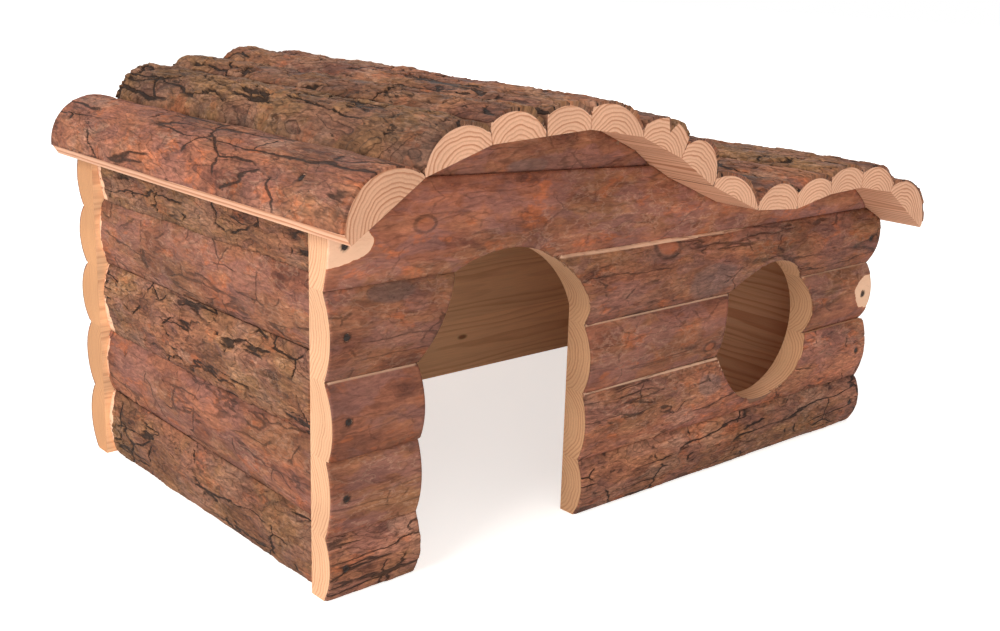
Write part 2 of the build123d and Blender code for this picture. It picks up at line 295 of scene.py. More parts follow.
class HouseStudio(bpy.types.PropertyGroup):
    """Camera, floor and lamps."""

    eye: FloatVectorProperty(
        name="Eye", description="Where the camera stands", default=(-0.486408, -0.550582, 0.281509),
        size=3, subtype="TRANSLATION",
    )
    azimuth: angle_prop("Azimuth", "Turn of the view from straight at the front wall", -41.279)
    elevation: angle_prop("Elevation", "Angle of the view above the horizon", 15.479)
    roll: angle_prop("Roll", "Turn of the camera about its own axis", 1.754)
    focal_length: FloatProperty(
        name="Focal length", description="Lens in millimetres on a 36 mm sensor", default=46.8
    )
    key_power: power_prop("Key power", "Watts of the large lamp at the left", 40.0)
    fill_power: power_prop("Fill power", "Watts of the lamp in front", 6.0)
    back_power: power_prop("Back power", "Watts of the lamp behind", 16.0)
    sky_strength: share_prop("Sky strength", "Light that comes from all around", 0.54)
    floor: colour_prop("Floor", "The paper that the house stands on", (0.93, 0.925, 0.92))


SETTING_GROUPS = {
    "bark": HouseBarkColours,
    "front_bark": HouseFrontBark,
    "side_bark": HouseSideBark,
    "roof_bark": HouseRoofBark,
    "wood": HouseWood,
    "studio": HouseStudio,
}


class HouseSettings(bpy.types.PropertyGroup):
    """All the settings of the rabbit house."""

    __annotations__ = {name: PointerProperty(type=group) for name, group in SETTING_GROUPS.items()}


# Node trees, written as sums of fields


class Field:
    """A socket to count with. Each step of a sum becomes a node in the socket's tree."""

    def __init__(self, socket):
        self.socket = socket
        self.tree = socket.id_data

    def __add__(self, other):
        return calculate("ADD", self, other)

    def __sub__(self, other):
        return calculate("SUBTRACT", self, other)

    def __rsub__(self, other):
        return calculate("SUBTRACT", other, self)

    def __mul__(self, other):
        return calculate("MULTIPLY", self, other)

    def __truediv__(self, other):
        return calculate("DIVIDE", self, other)

    def __gt__(self, other):
        return calculate("GREATER_THAN", self, other)

    def __lt__(self, other):
        return calculate("LESS_THAN", self, other)

    def __abs__(self):
        return calculate("ABSOLUTE", self)


def add_node(tree, kind, inputs=None, **settings):
    """Add a node and return its outputs by name. An input is set to a value, or joined to a field."""
    made = tree.nodes.new(kind)
    for name, value in settings.items():
        setattr(made, name, value)
    for key, value in (inputs or {}).items():
        if isinstance(value, Field):
            tree.links.new(value.socket, made.inputs[key])
        else:
            made.inputs[key].default_value = value
    outputs = {}
    for output in made.outputs:
        outputs.setdefault(output.name, Field(output))
    return outputs


def is_vector(value):
    """Return whether a value or a field is a vector or a colour, and not a number."""
    if isinstance(value, Field):
        return value.socket.type in {"VECTOR", "RGBA"}
    return not isinstance(value, (int, float))


def calculate(operation, first, second=0.0):
    """Return the field that an operation gives on two numbers or vectors, at least one of them a field."""
    tree = first.tree if isinstance(first, Field) else second.tree
    vectors = is_vector(first) + is_vector(second)
    if vectors == 0:
        return add_node(tree, "ShaderNodeMath", {0: first, 1: second}, operation=operation)["Value"]
    if vectors == 1:
        inputs = {"Vector": first, "Scale": second}
        return add_node(tree, "ShaderNodeVectorMath", inputs, operation="SCALE")["Vector"]
    return add_node(tree, "ShaderNodeVectorMath", {0: first, 1: second}, operation=operation)["Vector"]


def measure(operation, first, second=(0.0, 0.0, 0.0)):
    """Return the number that a vector operation gives, such as a length or a dot product."""
    return add_node(first.tree, "ShaderNodeVectorMath", {0: first, 1: second}, operation=operation)["Value"]


def dot(first, second):
    """Return the dot product of two vectors."""
    return measure("DOT_PRODUCT", first, second)


def larger(first, second):
    """Return the larger one of two numbers."""
    return calculate("MAXIMUM", first, second)


def clamped(value):
    """Return a number kept between 0 and 1."""
    return add_node(value.tree, "ShaderNodeClamp", {"Value": value})["Result"]


def step_between(value, low, high, start=0.0, finish=1.0):
    """Return a smooth step from start to finish while the value goes from low to high."""
    inputs = {"Value": value, "From Min": low, "From Max": high, "To Min": start, "To Max": finish}
    return add_node(value.tree, "ShaderNodeMapRange", inputs, interpolation_type="SMOOTHSTEP")["Result"]


def fall_between(value, low, high):
    """Return a smooth step from 1 to 0 while the value goes from low to high."""
    return step_between(value, low, high, 1.0, 0.0)


def parts_of(vector):
    """Return the X, Y and Z of a vector by name."""
    return add_node(vector.tree, "ShaderNodeSeparateXYZ", {"Vector": vector})


def vector_of(x, y, z=0.0):
    """Return a vector made from its parts."""
    return add_node(x.tree, "ShaderNodeCombineXYZ", {"X": x, "Y": y, "Z": z})["Vector"]


def noise(vector, scale, detail=2.0, roughness=0.5):
    """Return noise from 0 to 1."""
    inputs = {"Vector": vector, "Scale": scale, "Detail": detail, "Roughness": roughness}
    return add_node(vector.tree, "ShaderNodeTexNoise", inputs)["Fac"]


def wander(vector, scale, detail):
    """Return noise as a vector whose parts go from -0.5 to 0.5."""
    inputs = {"Vector": vector, "Scale": scale, "Detail": detail}
    return add_node(vector.tree, "ShaderNodeTexNoise", inputs)["Color"] - (0.5, 0.5, 0.5)


def cells(vector, scale, feature="F1"):
    """Return the distance to the middle or to the border of cells."""
    inputs = {"Vector": vector, "Scale": scale}
    return add_node(vector.tree, "ShaderNodeTexVoronoi", inputs, feature=feature)["Distance"]


def blend(share, first, second, mode="MIX"):
    """Return the mix of two colours, each a field or three values. At least one value is a field."""
    tree = next(value.tree for value in (share, first, second) if isinstance(value, Field))
    made = tree.nodes.new("ShaderNodeMix")
    made.data_type = "RGBA"
    made.blend_type = mode
    factor, first_input, second_input = made.inputs[0], made.inputs[6], made.inputs[7]
    for socket, value in ((factor, share), (first_input, first), (second_input, second)):
        if isinstance(value, Field):
            tree.links.new(value.socket, socket)
        else:
            socket.default_value = value if socket == factor else (*value, 1.0)
    return Field(made.outputs[2])


def times_shade(colour, shade):
    """Return a colour made brighter or darker by a number."""
    tint = add_node(shade.tree, "ShaderNodeCombineColor", {0: shade, 1: shade, 2: shade})["Color"]
    return blend(1.0, colour, tint, "MULTIPLY")


def paint(colour, layers):
    """Return a colour with layers of others over it, each given by its share and its colour."""
    for share, layer in layers:
        colour = blend(share, colour, layer)
    return colour


def new_tree(name, kind, inputs, outputs):
    """Return a new node tree with its inputs as fields. Sockets are pairs of name and kind."""
    tree = bpy.data.node_groups.new(name, kind)
    for direction, sockets in (("INPUT", inputs), ("OUTPUT", outputs)):
        for socket, socket_kind in sockets:
            tree.interface.new_socket(name=socket, in_out=direction, socket_type="NodeSocket" + socket_kind)
    return tree, add_node(tree, "NodeGroupInput")


# The pattern of the bark, which the shell and the material share


def terraces(value, levels, ramp):
    """Cut a smooth field into flat layers, as bark comes off. Return the layers and their edges, where the
    material paints shade under each step.
    """
    spread = value * (2.4 * levels) - 0.7 * levels
    within = calculate("FRACT", spread)
    layers = (calculate("FLOOR", spread) + step_between(within, 0.0, ramp)) / levels
    edge = step_between(within, 0.0, ramp * 0.4) * fall_between(within, ramp * 0.4, ramp * 1.3)
    return layers, edge


def bark_fields(place):
    """Work out the height, scale edges and cracks of the bark at a place counted in scales."""
    bent = place + wander(place, 1.3, 4.0) * 0.5
    lumps = noise(place, 0.45)
    layers, edge = terraces(noise(bent, 0.8, 1.5), 4.0, 0.14)
    small_layers, small_edge = terraces(noise(bent + (7.0, 3.0, 1.0), 2.1), 3.0, 0.2)
    fine = noise(bent, 5.0, 4.0, 0.6)
    height = layers * 0.62 + small_layers * 0.3
    height = (fine - 0.5) * 0.35 + height
    height = (lumps - 0.5) * 0.3 + height

    # Long fissures run along the slab. Short cracks cross it where a slow noise lets them.
    long_way = bent * (0.22, 0.8, 1.0) + (3.0, 9.0, 5.0)
    off_line = abs(noise(long_way, 1.0, 3.0, 0.45) - 0.5)
    fissure = fall_between(off_line, 0.005, 0.02) * step_between(lumps, 0.45, 0.53)
    border = cells(bent * (1.0, 0.45, 1.0), 0.8, "DISTANCE_TO_EDGE")
    where = noise(place + (5.0, 1.0, 8.0), 0.7)
    cross = fall_between(border, 0.006, 0.024) * step_between(where, 0.51, 0.56)
    return {
        "height": clamped(height + 0.04), "edge": larger(edge, small_edge * 0.6),
        "crack": larger(fissure, cross), "bent": bent,
    }


# The shell of bark on one slab, as Geometry Nodes


BARK_INPUTS = {
    "Object": ["Slab", "Nails"],
    "Material": ["Bark"],
    "Vector": [
        "Centre", "Along", "Across", "Outward", "Bare centre", "Bare size", "Patch centre", "Patch size",
        "Knot centre",
    ],
    "Float": [
        "Length", "Width", "Reach", "Least depth", "Step", "Seed", "Relief", "Flake length", "Flake width",
        "Cracks", "Crack depth", "Greyness", "Shade", "Shaved", "Pale edge", "Pale end", "Knot size",
    ],
}


def changed(geometry, kind, inputs=None, **settings):
    """Pass a geometry through a node and return what comes out."""
    inputs = {0: geometry, **(inputs or {})}
    return next(iter(add_node(geometry.tree, "GeometryNode" + kind, inputs, **settings).values()))


def moved(geometry, **inputs):
    """Move the points of a geometry. The inputs are selection, position and offset."""
    return changed(geometry, "SetPosition", {name.capitalize(): value for name, value in inputs.items()})


def store(geometry, name, value):
    """Keep a field on the points under a name that later nodes and the material read."""
    kind = "FLOAT_VECTOR" if is_vector(value) else "FLOAT"
    return changed(geometry, "StoreNamedAttribute", {"Name": name, "Value": value}, data_type=kind)


def stored(tree, name, kind="FLOAT"):
    """Read a field that was kept earlier."""
    return add_node(tree, "GeometryNodeInputNamedAttribute", {"Name": name}, data_type=kind)["Attribute"]


def position(tree):
    """Return where each point is."""
    return add_node(tree, "GeometryNodeInputPosition")["Position"]


def normal(tree):
    """Return which way each point or face looks."""
    return add_node(tree, "GeometryNodeInputNormal")["Normal"]


def open_edge(tree):
    """Return 1 on the edges that only one face has."""
    return add_node(tree, "GeometryNodeInputMeshEdgeNeighbors")["Face Count"] < 1.5


def mesh_of(piece):
    """Return the mesh of an object that an input holds."""
    info = add_node(piece.tree, "GeometryNodeObjectInfo", {"Object": piece}, transform_space="ORIGINAL")
    return info["Geometry"]


def nearest(geometry, element):
    """Return the nearest place on a geometry and the distance to it."""
    return add_node(geometry.tree, "GeometryNodeProximity", {"Geometry": geometry}, target_element=element)


def join(*geometries):
    """Return several geometries as one."""
    made = geometries[0].tree.nodes.new("GeometryNodeJoinGeometry")
    for geometry in geometries:
        geometry.tree.links.new(geometry.socket, made.inputs[0])
    return Field(made.outputs[0])


def bark_outline(given, slab):
    """Return the edges round the part of the slab's mesh that faces the bark's way."""
    tree = slab.tree
    too_deep = dot(position(tree) - given["Centre"], given["Outward"]) < given["Least depth"]
    turned = dot(normal(tree), given["Outward"]) < LEAST_FACING
    bark_faces = changed(slab, "DeleteGeometry", {"Selection": larger(too_deep, turned)}, domain="FACE")
    curve = changed(bark_faces, "MeshToCurve", {"Selection": open_edge(tree)})
    return changed(curve, "CurveToMesh")


def dropped_grid(given, slab, nails):
    """Drop a fine grid on the slab and return the part of it that lands where bark is."""
    tree = slab.tree
    grid = add_node(tree, "GeometryNodeMeshGrid", {
        "Size X": given["Length"], "Vertices X": given["Length"] / given["Step"] + 2.0,
        "Size Y": given["Width"], "Vertices Y": given["Width"] / given["Step"] + 2.0,
    })["Mesh"]
    place = position(tree)
    grid = store(grid, "grain", place)
    parts = parts_of(place)
    above = given["Centre"] + given["Outward"] * given["Reach"]
    above = above + given["Along"] * parts["X"]
    above = above + given["Across"] * parts["Y"]
    grid = moved(grid, position=above)
    hit = add_node(tree, "GeometryNodeRaycast", {
        "Target Geometry": join(nails, slab),
        "Ray Direction": given["Outward"] * -1.0,
        "Ray Length": given["Reach"] * 2.0,
    })
    on_bark = hit["Is Hit"] * (given["Reach"] - hit["Hit Distance"] > given["Least depth"])
    on_bark = on_bark * (dot(hit["Hit Normal"], given["Outward"]) > LEAST_FACING)
    patch = changed(grid, "DeleteGeometry", {"Selection": on_bark < 0.5})
    return moved(patch, position=hit["Hit Position"])


def fitted_to_outline(given, patch, outline):
    """Pull the patch's open edges to the outline, even out the rest, and store the distance to the rim."""
    tree = patch.tree
    near = nearest(outline, "EDGES")
    patch = store(patch, "rim", near["Distance"])
    toward = calculate("NORMALIZE", near["Position"] - position(tree), (0.0, 0.0, 0.0))
    patch = store(patch, "seam", dot(toward, given["Across"]))
    rim = stored(tree, "rim")
    on_edge = add_node(
        tree, "GeometryNodeFieldOnDomain", {"Value": open_edge(tree)}, data_type="FLOAT", domain="EDGE"
    )["Value"]
    patch = store(patch, "open", (on_edge > 0.01) * (rim < given["Step"] * OUTLINE_STEPS))
    is_open = stored(tree, "open")
    patch = moved(patch, selection=is_open, position=near["Position"])
    patch = store(patch, "rim", rim * (1.0 - is_open))
    blur = {"Value": position(tree), "Iterations": 3}
    even = add_node(tree, "GeometryNodeBlurAttribute", blur, data_type="FLOAT_VECTOR")["Value"]
    return moved(patch, selection=is_open < 0.5, position=even)


def fitted_to_nails(given, patch, nails):
    """Pull the points beside a nail to the rim of its head, and store the distance to the nails."""
    near = nearest(nails, "FACES")
    patch = store(patch, "nail", near["Distance"])
    far = stored(patch.tree, "nail")
    beside = (far > ON_NAIL) * (far < given["Step"] * NAIL_STEPS)
    return moved(patch, selection=beside, position=near["Position"])


def spot_distance(given, grain, spot):
    """Return how far a point is from the middle of a spot, counted in the spot's own half lengths."""
    way = (grain - given[spot + " centre"]) / given[spot + " size"]
    return measure("LENGTH", way * (1.0, 1.0, 0.0))


def knot_field(given, grain, bend):
    """Return 1 in the middle of the slab's knot and 0 outside it."""
    way = grain - given["Knot centre"] + bend * KNOT_BENDS
    share = measure("LENGTH", way * (0.6, 1.0, 0.0)) / larger(given["Knot size"], LEAST_MARK)
    return fall_between(share, 0.35, 1.0) * (given["Knot size"] > LEAST_MARK)


def pale_field(given, along, rim):
    """Return 1 on the pale line of bare wood along the slab's upper edge, and 0 elsewhere."""
    upper = step_between(stored(rim.tree, "seam"), 0.6, 0.85)
    upper = upper * (along["Y"] > given["Width"] * 0.5 - PALE_STRIP)
    upper = upper * fall_between(along["X"] - given["Pale end"], -PALE_FADE, 0.0)
    width = larger(given["Pale edge"], 1.0) * PALE_WIDTH
    return clamped(fall_between(rim, PALE_SOLID, width) * upper * given["Pale edge"])


def bare_field(given, grain, along, seeded):
    """Return 1 where the wood is bare, in the shaved end and in the bare spot, and 0 elsewhere."""
    from_end = given["Length"] * 0.5 + along["X"]
    ragged_end = noise(seeded, 45.0, 3.0) * RAGGED_LINE - RAGGED_LINE / 2
    shaved = fall_between(from_end + ragged_end, given["Shaved"] * 0.6, given["Shaved"])
    ragged = noise(seeded, 110.0) + 0.5
    share = spot_distance(given, grain, "Bare") / (ragged * 0.4 + 0.6)
    return larger(shaved * (given["Shaved"] > LEAST_MARK), fall_between(share, 0.94, 1.02))


def with_relief(given, patch):
    """Store how far the bark stands off each point, and all that the material reads."""
    tree = patch.tree
    grain, rim, nail_far = stored(tree, "grain", "FLOAT_VECTOR"), stored(tree, "rim"), stored(tree, "nail")
    along = parts_of(grain)
    seeded = grain + vector_of(given["Seed"] * 0.37, 0.0, given["Seed"] * 0.37 * 0.3)
    place = vector_of(along["X"] / given["Flake length"], along["Y"] / given["Flake width"], given["Seed"])
    fields = bark_fields(place)
    knot = knot_field(given, grain, fields["bent"] - place)
    bare = bare_field(given, grain, along, seeded)
    pit = fall_between(nail_far, PIT_BOTTOM, PIT_TOP)

    lift = (fields["height"] - 0.22) * given["Relief"] * step_between(rim, 0.0, RIM_WIDTH, 0.85, 1.0)
    lift = lift - fields["crack"] * (given["Cracks"] * given["Crack depth"])
    lift = larger(knot * KNOT_RISE + lift, LEAST_BARK)
    lift = lift * (bare * -0.8 + 1.0) * (1.0 - pit)
    lift = (nail_far < ON_NAIL) * -HEAD_DROP + larger(lift, LEAST_BARE)

    kept = {
        "knot": knot, "shaved": bare, "pit": pit, "pale": pale_field(given, along, rim),
        "patch": fall_between(spot_distance(given, grain, "Patch"), 0.5, 1.5),
        "greyness": given["Greyness"], "contrast": given["Cracks"], "shade": given["Shade"],
        "scales": place, "seeded": seeded, "rise": normal(tree) * (lift + SUNK),
    }
    for name, value in kept.items():
        patch = store(patch, name, value)
    return patch


def bark_shell(patch):
    """Return the closed shell: raised top, side walls, and the turned patch as its underside."""
    tree = patch.tree
    patch = moved(patch, offset=normal(tree) * -SUNK)
    still = {"Mesh": patch, "Offset Scale": 0.0, "Individual": False}
    raised = add_node(tree, "GeometryNodeExtrudeMesh", still)
    top = moved(raised["Mesh"], selection=raised["Top"], offset=stored(tree, "rise", "FLOAT_VECTOR"))
    top = changed(top, "SetShadeSmooth", {"Selection": raised["Top"], "Shade Smooth": True})
    shell = changed(join(changed(patch, "FlipFaces"), top), "MergeByDistance", {"Distance": WELD})
    return changed(shell, "RealizeInstances")


def bark_tree():
    """Build the tree that lays a closed shell of bark on one CAD slab."""
    geometry = [("Geometry", "Geometry")]
    inputs = [(name, kind) for kind, names in BARK_INPUTS.items() for name in names]
    tree, given = new_tree("bark_on_a_slab", "GeometryNodeTree", geometry + inputs, geometry)
    tree.is_modifier = True
    slab = changed(mesh_of(given["Slab"]), "MergeByDistance", {"Distance": SLAB_WELD})
    nails = mesh_of(given["Nails"])
    patch = dropped_grid(given, slab, nails)
    patch = fitted_to_outline(given, patch, bark_outline(given, slab))
    patch = fitted_to_nails(given, patch, nails)
    shell = changed(bark_shell(with_relief(given, patch)), "SetMaterial", {"Material": given["Bark"]})
    add_node(tree, "NodeGroupOutput", {"Geometry": shell})
    return tree


# The pieces


def slab_facing(node):
    """Return which way a slab's bark faces and which way the slab runs."""
    wall = node.split("_")[0]
    if wall in WALLS:
        return WALLS[wall]
    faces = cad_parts[node].data.polygons
    under = [face for face in faces if face.normal.z < -0.1 and abs(face.normal.y) < 0.1]
    return Vector(-max(under, key=lambda face: face.area).normal), SLAT_RUN


def slab_span(node, centre, direction):
    """Return the lowest and highest place of a slab's points along a direction, from the centre."""
    places = [(vertex.co - centre).dot(direction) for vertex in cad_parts[node].data.vertices]
    return min(places), max(places)


def on_slab(x, z, centre, along, across):
    """Return where a place given in millimetres lies along and across a slab from its centre."""
    way = Vector((x * MM, 0.0, z * MM)) - centre
    return Vector((way.dot(along), way.dot(across), 0.0))


def spot_size(half_length, half_width):
    """Return the size of a spot given in millimetres as a vector that can be divided by."""
    return Vector((half_length * MM, half_width * MM, 1.0))


def new_object(name, data):
    """Return a new object in the scene."""
    made = bpy.data.objects.new(name, data)
    bpy.context.scene.collection.objects.link(made)
    return made


def join_nails():
    """Return one object that holds a copy of all the nails."""
    built = bmesh.new()
    for node in NAILS:
        built.from_mesh(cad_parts[node].data)
    mesh = bpy.data.meshes.new("nail_copy")
    built.to_mesh(mesh)
    built.free()
    return new_object("nail_copy", mesh)


def bark_values(node, settings, seed):
    """Return what the bark's tree needs to know of one slab, by the names of its inputs."""
    low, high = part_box(node)
    outward, along = slab_facing(node)
    across = outward.cross(along)
    centre = (low + high) / 2
    length, width = (slab_span(node, centre, direction) for direction in (along, across))
    for (start, finish), direction in ((length, along), (width, across)):
        centre = centre + direction * (start + finish) / 2
    bottom, top = slab_span(node, centre, outward)
    own = SLAB_BARK.get(node, {})
    bare, patch, knot = own.get("bare", NO_SPOT), own.get("patch", NO_SPOT), own.get("knot", NO_KNOT)
    return {
        "Slab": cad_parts[node],
        "Centre": centre,
        "Along": along,
        "Across": across,
        "Outward": outward,
        "Length": length[1] - length[0],
        "Width": width[1] - width[0],
        "Reach": (top - bottom) * 2,
        "Least depth": bottom + (top - bottom) * LEAST_DEPTH_SHARE,
        "Step": settings.grid,
        "Seed": seed * 7.3,
        "Relief": settings.relief * own.get("roughness", 1.0),
        "Flake length": settings.flake_length,
        "Flake width": settings.flake_width,
        "Crack depth": settings.crack_depth * own.get("roughness", 1.0),
        "Cracks": settings.cracks * own.get("cracks", 1.0),
        "Greyness": own.get("greyness", 0.25 + 0.6 * ((seed * 0.618) % 1.0)),
        "Shade": settings.shade * own.get("shade", 1.0),
        "Shaved": own.get("shaved", 0.0) * MM,
        "Pale edge": own.get("pale_edge", 0.0),
        "Pale end": on_slab(own.get("pale_end", FAR / MM), 0.0, centre, along, across).x,
        "Bare centre": on_slab(*bare[:2], centre, along, across),
        "Bare size": spot_size(*bare[2:]),
        "Patch centre": on_slab(*patch[:2], centre, along, across),
        "Patch size": spot_size(*patch[2:]),
        "Knot centre": on_slab(*knot[:2], centre, along, across),
        "Knot size": knot[2] * MM,
    }


def make_bark(tree, node, settings, material, nails, seed):
    """Lay bark on one CAD slab and return it as a plain mesh piece."""
    values = {"Nails": nails, "Bark": material, **bark_values(node, settings, seed)}
    blank = new_object("blank", bpy.data.meshes.new("blank"))
    modifier = blank.modifiers.new("bark", "NODES")
    modifier.node_group = tree
    for item in tree.interface.items_tree:
        if item.item_type == "SOCKET" and item.in_out == "INPUT" and item.name in values:
            modifier[item.identifier] = values[item.name]
    depsgraph = bpy.context.evaluated_depsgraph_get()
    mesh = bpy.data.meshes.new_from_object(blank.evaluated_get(depsgraph), depsgraph=depsgraph)
    bpy.data.objects.remove(blank)
    mesh.name = "bark_" + node
    piece = new_object("bark_" + node, mesh)
    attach(piece, BODY)
    return piece


def dress_node(node, material):
    """Give a CAD node its material."""
    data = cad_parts[node].data
    data.materials.clear()
    data.materials.append(material)


# Materials


def new_material(name):
    """Return a material with an empty node tree, and that tree."""
    material = bpy.data.materials.new(name)
    material.use_nodes = True
    material.node_tree.nodes.clear()
    return material, material.node_tree


def add_shader(tree, inputs):
    """Add the material's shader and its output."""
    shader = add_node(tree, "ShaderNodeBsdfPrincipled", inputs)["BSDF"]
    add_node(tree, "ShaderNodeOutputMaterial", {"Surface": shader})


def bumped(height, distance, strength):
    """Return the normal of a surface with small bumps."""
    inputs = {"Height": height, "Distance": distance, "Strength": strength}
    return add_node(height.tree, "ShaderNodeBump", inputs)["Normal"]


def object_place(tree):
    """Return each point's place in the frame that all pieces share."""
    return add_node(tree, "ShaderNodeTexCoord")["Object"]


# What the bark's material reads from the mesh, and its colours by the names of their settings
BARK_VECTORS = ["Seeded", "Scales"]
BARK_MASKS = ["Knot", "Shaved", "Pit", "Pale", "Patch", "Greyness", "Contrast", "Shade"]
BARK_COLOURS = {name: name.replace("_", " ").capitalize() for name in HouseBarkColours.__annotations__}


def scale_colour(given, height, broad, middle):
    """Return the bark's main colour and how grey it is. Weathered tops are greyer."""
    lean = (height - 0.5) * 0.5 + (broad * 1.8 - 0.9)
    grey_share = clamped(given["Greyness"] + lean)
    # Lower layers lean to the deep colours: partly the bark's own darker colour between the scales, partly
    # painted shade in the hollows.
    tone = (middle - 0.5) * 1.1 + ((height - 0.5) * 0.9 + 0.5)
    tone = clamped((tone - 0.5) * (given["Contrast"] * 0.6 + 1.0) + 0.5)
    red = blend(tone, given["Red deep"], given["Red scale"])
    grey = blend(tone, given["Grey deep"], given["Grey scale"])
    return blend(grey_share, red, grey), grey_share


def with_patches(given, colour, grey_share, bent, broad, middle):
    """Return the colour with soft patches and flecks, and a slow change of brightness."""
    contrast = given["Contrast"]
    shifted = bent + (4.0, 2.0, 7.0)
    purple = step_between(noise(shifted, 58.0, 4.0, 0.6), 0.47, 0.57) * (contrast * -0.45 + 0.75)
    skin = step_between(noise(shifted, 38.0, 5.0, 0.62), 0.56, 0.61) * (contrast * 0.8 - 0.25)
    skin = clamped(skin) * (grey_share * -0.85 + 1.0)
    fleck = step_between(noise(bent, 95.0, 5.0, 0.7), 0.55, 0.66) * (grey_share * -0.4 + 0.65)
    off_wisp = abs(noise(shifted, 130.0, 4.0, 0.6) - 0.5)
    wisp = step_between(off_wisp, 0.0, 0.035, 0.3, 0.0) * step_between(broad, 0.42, 0.58, 0.15, 1.0)
    patch = step_between(middle + given["Patch"], 0.85, 1.25, 0.0, 0.6)
    cloud = step_between(noise(shifted, 44.0, 3.0, 0.55), 0.42, 0.58, 0.88, 1.12)
    return paint(colour, [
        (clamped(purple), given["Purple skin"]), (skin, given["Pale skin"]), (fleck, given["Orange fleck"]),
        (wisp, given["Pale skin"]), (patch, given["Grey patch"]),
    ]), cloud


def bark_colours_group():
    """Build the group that colours bark by its layers and cracks, and gives its small bumps."""
    inputs = [(name, "Vector") for name in BARK_VECTORS] + [(name, "Float") for name in BARK_MASKS]
    inputs += [(name, "Color") for name in [*BARK_COLOURS.values(), "Wood"]]
    outputs = [("Color", "Color"), ("Bump", "Float"), ("Roughness", "Float")]
    tree, given = new_tree("bark_colours", "ShaderNodeTree", inputs, outputs)
    contrast, knot, crack_and_shade_colour = given["Contrast"], given["Knot"], given["Crack"]
    fields = bark_fields(given["Scales"])
    height = fields["height"]
    flat = given["Seeded"] * (0.45, 1.0, 1.0)
    bent = flat + wander(flat, 90.0, 3.0) * 0.006
    broad = noise(bent, 28.0)
    middle = noise(bent, 150.0, 4.0, 0.6)
    fine = noise(bent * (0.6, 1.0, 1.0), 900.0, 3.0, 0.65)
    streaks = noise(bent * (0.2, 1.0, 1.0), 620.0, 3.0, 0.6)
    colour, grey_share = scale_colour(given, height, broad, middle)
    colour, cloud = with_patches(given, colour, grey_share, bent, broad, middle)

    # Fine detail shows most on rough slabs, and painted shade darkens the ground between the scales.
    detail = step_between(fine, 0.3, 0.7, 0.72, 1.26) * step_between(streaks, 0.3, 0.7, 0.8, 1.18) - 1.0
    detail = detail * step_between(contrast, 0.25, 0.8, 0.6, 1.15) + 1.0
    deep = fall_between(height, 0.08, 0.45) * contrast
    colour = times_shade(colour, detail * cloud * given["Shade"] * (deep * -0.45 + 1.08))

    # Painted shade under the edges of the scales, cracks and hair cracks on rough slabs, whose dark is partly
    # painted shade, the knot's ring and heart, bare wood, and pits round nails painted dark as shade
    hair = fall_between(noise(fields["bent"], 2.4, 5.0, 0.7), 0.33, 0.37) * (contrast * 0.8)
    dark = larger(clamped(fields["crack"] * (contrast * 1.15 + 0.05)), hair)
    ring = step_between(knot, 0.05, 0.3) * fall_between(knot, 0.5, 0.9)
    frayed = (middle - 0.5) * 0.5 + given["Shaved"]
    wood = larger(step_between(frayed, 0.42, 0.56), step_between(given["Pale"], 0.1, 0.5, 0.0, 0.75))
    colour = paint(colour, [
        (fields["edge"] * (contrast * 0.55), crack_and_shade_colour), (dark * 0.92, crack_and_shade_colour),
        (ring * 0.45, crack_and_shade_colour), (step_between(knot, 0.6, 0.95, 0.0, 0.4), given["Orange fleck"]),
        (step_between(frayed, 0.1, 0.3) * 0.6, given["Orange fleck"]), (wood * 0.95, given["Wood"]),
        (given["Pit"] * 0.95, crack_and_shade_colour),
    ])
    bump = streaks * 0.25 + (middle * 0.5 + fine * 0.28)
    bump = height * (contrast * 4.2 + 0.3) + bump
    bump = bump - dark * (contrast * 2.6)
    add_node(tree, "NodeGroupOutput", {
        "Color": colour, "Bump": bump, "Roughness": step_between(middle, 0.3, 0.7, 0.78, 0.92),
    })
    return tree


def bark_material(group, bark, wood):
    """Return the bark's material."""
    material, tree = new_material("bark")
    inputs = {"Wood": (*wood.shaved, 1.0)}
    for names, output in ((BARK_VECTORS, "Vector"), (BARK_MASKS, "Fac")):
        for name in names:
            inputs[name] = add_node(tree, "ShaderNodeAttribute", attribute_name=name.lower())[output]
    for setting, name in BARK_COLOURS.items():
        inputs[name] = (*getattr(bark, setting), 1.0)
    made = add_node(tree, "ShaderNodeGroup", inputs, node_tree=group)
    add_shader(tree, {
        "Base Color": made["Color"], "Roughness": made["Roughness"], "Specular IOR Level": 0.25,
        "Normal": bumped(made["Bump"], BARK_BUMPS, 0.9),
    })
    return material


def growth_rings_group():
    """Build the group that gives the growth rings of a log round its pith line."""
    tree, given = new_tree(
        "growth_rings", "ShaderNodeTree",
        [("Pith", "Vector"), ("Along", "Vector"), ("Ring width", "Float"), ("Seed", "Float")],
        [("Late", "Float"), ("Fibre", "Float"), ("Knot", "Float"), ("Broad", "Float")],
    )
    seed, run = given["Seed"], given["Along"]
    place = object_place(tree)
    way = place - given["Pith"]
    axial = dot(way, run)
    radial = way - run * axial
    seeded = radial + run * (axial * 0.12) + vector_of(seed, seed * 0.7, seed * 0.4)
    wobble = noise(seeded, 70.0) * 2.6 - 1.3
    turns = measure("LENGTH", radial) / given["Ring width"] + wobble
    part = calculate("FRACT", turns)
    late = step_between(part, 0.35, 0.86) * fall_between(part, 0.9, 1.0)
    year = noise(vector_of(calculate("FLOOR", turns), seed), 0.8, 0.0)
    late = late * step_between(year, 0.3, 0.65, 0.45, 1.0)
    fibre = noise(radial + run * (axial * 0.03), 1500.0, 3.0, 0.6)

    knot_place = radial + run * (axial * 0.55) + vector_of(seed * 0.3, seed, seed * 0.2)
    knot = fall_between(cells(knot_place, 14.0), 0.02, 0.06)
    from_inner = measure("LENGTH", (place - INNER_KNOT) * (0.4, 1.0, 1.0))
    knot = larger(knot, fall_between(from_inner, INNER_HEART, INNER_EDGE))
    broad = noise(seeded, 25.0)
    add_node(tree, "NodeGroupOutput", {"Late": late, "Fibre": fibre, "Knot": knot, "Broad": broad})
    return tree


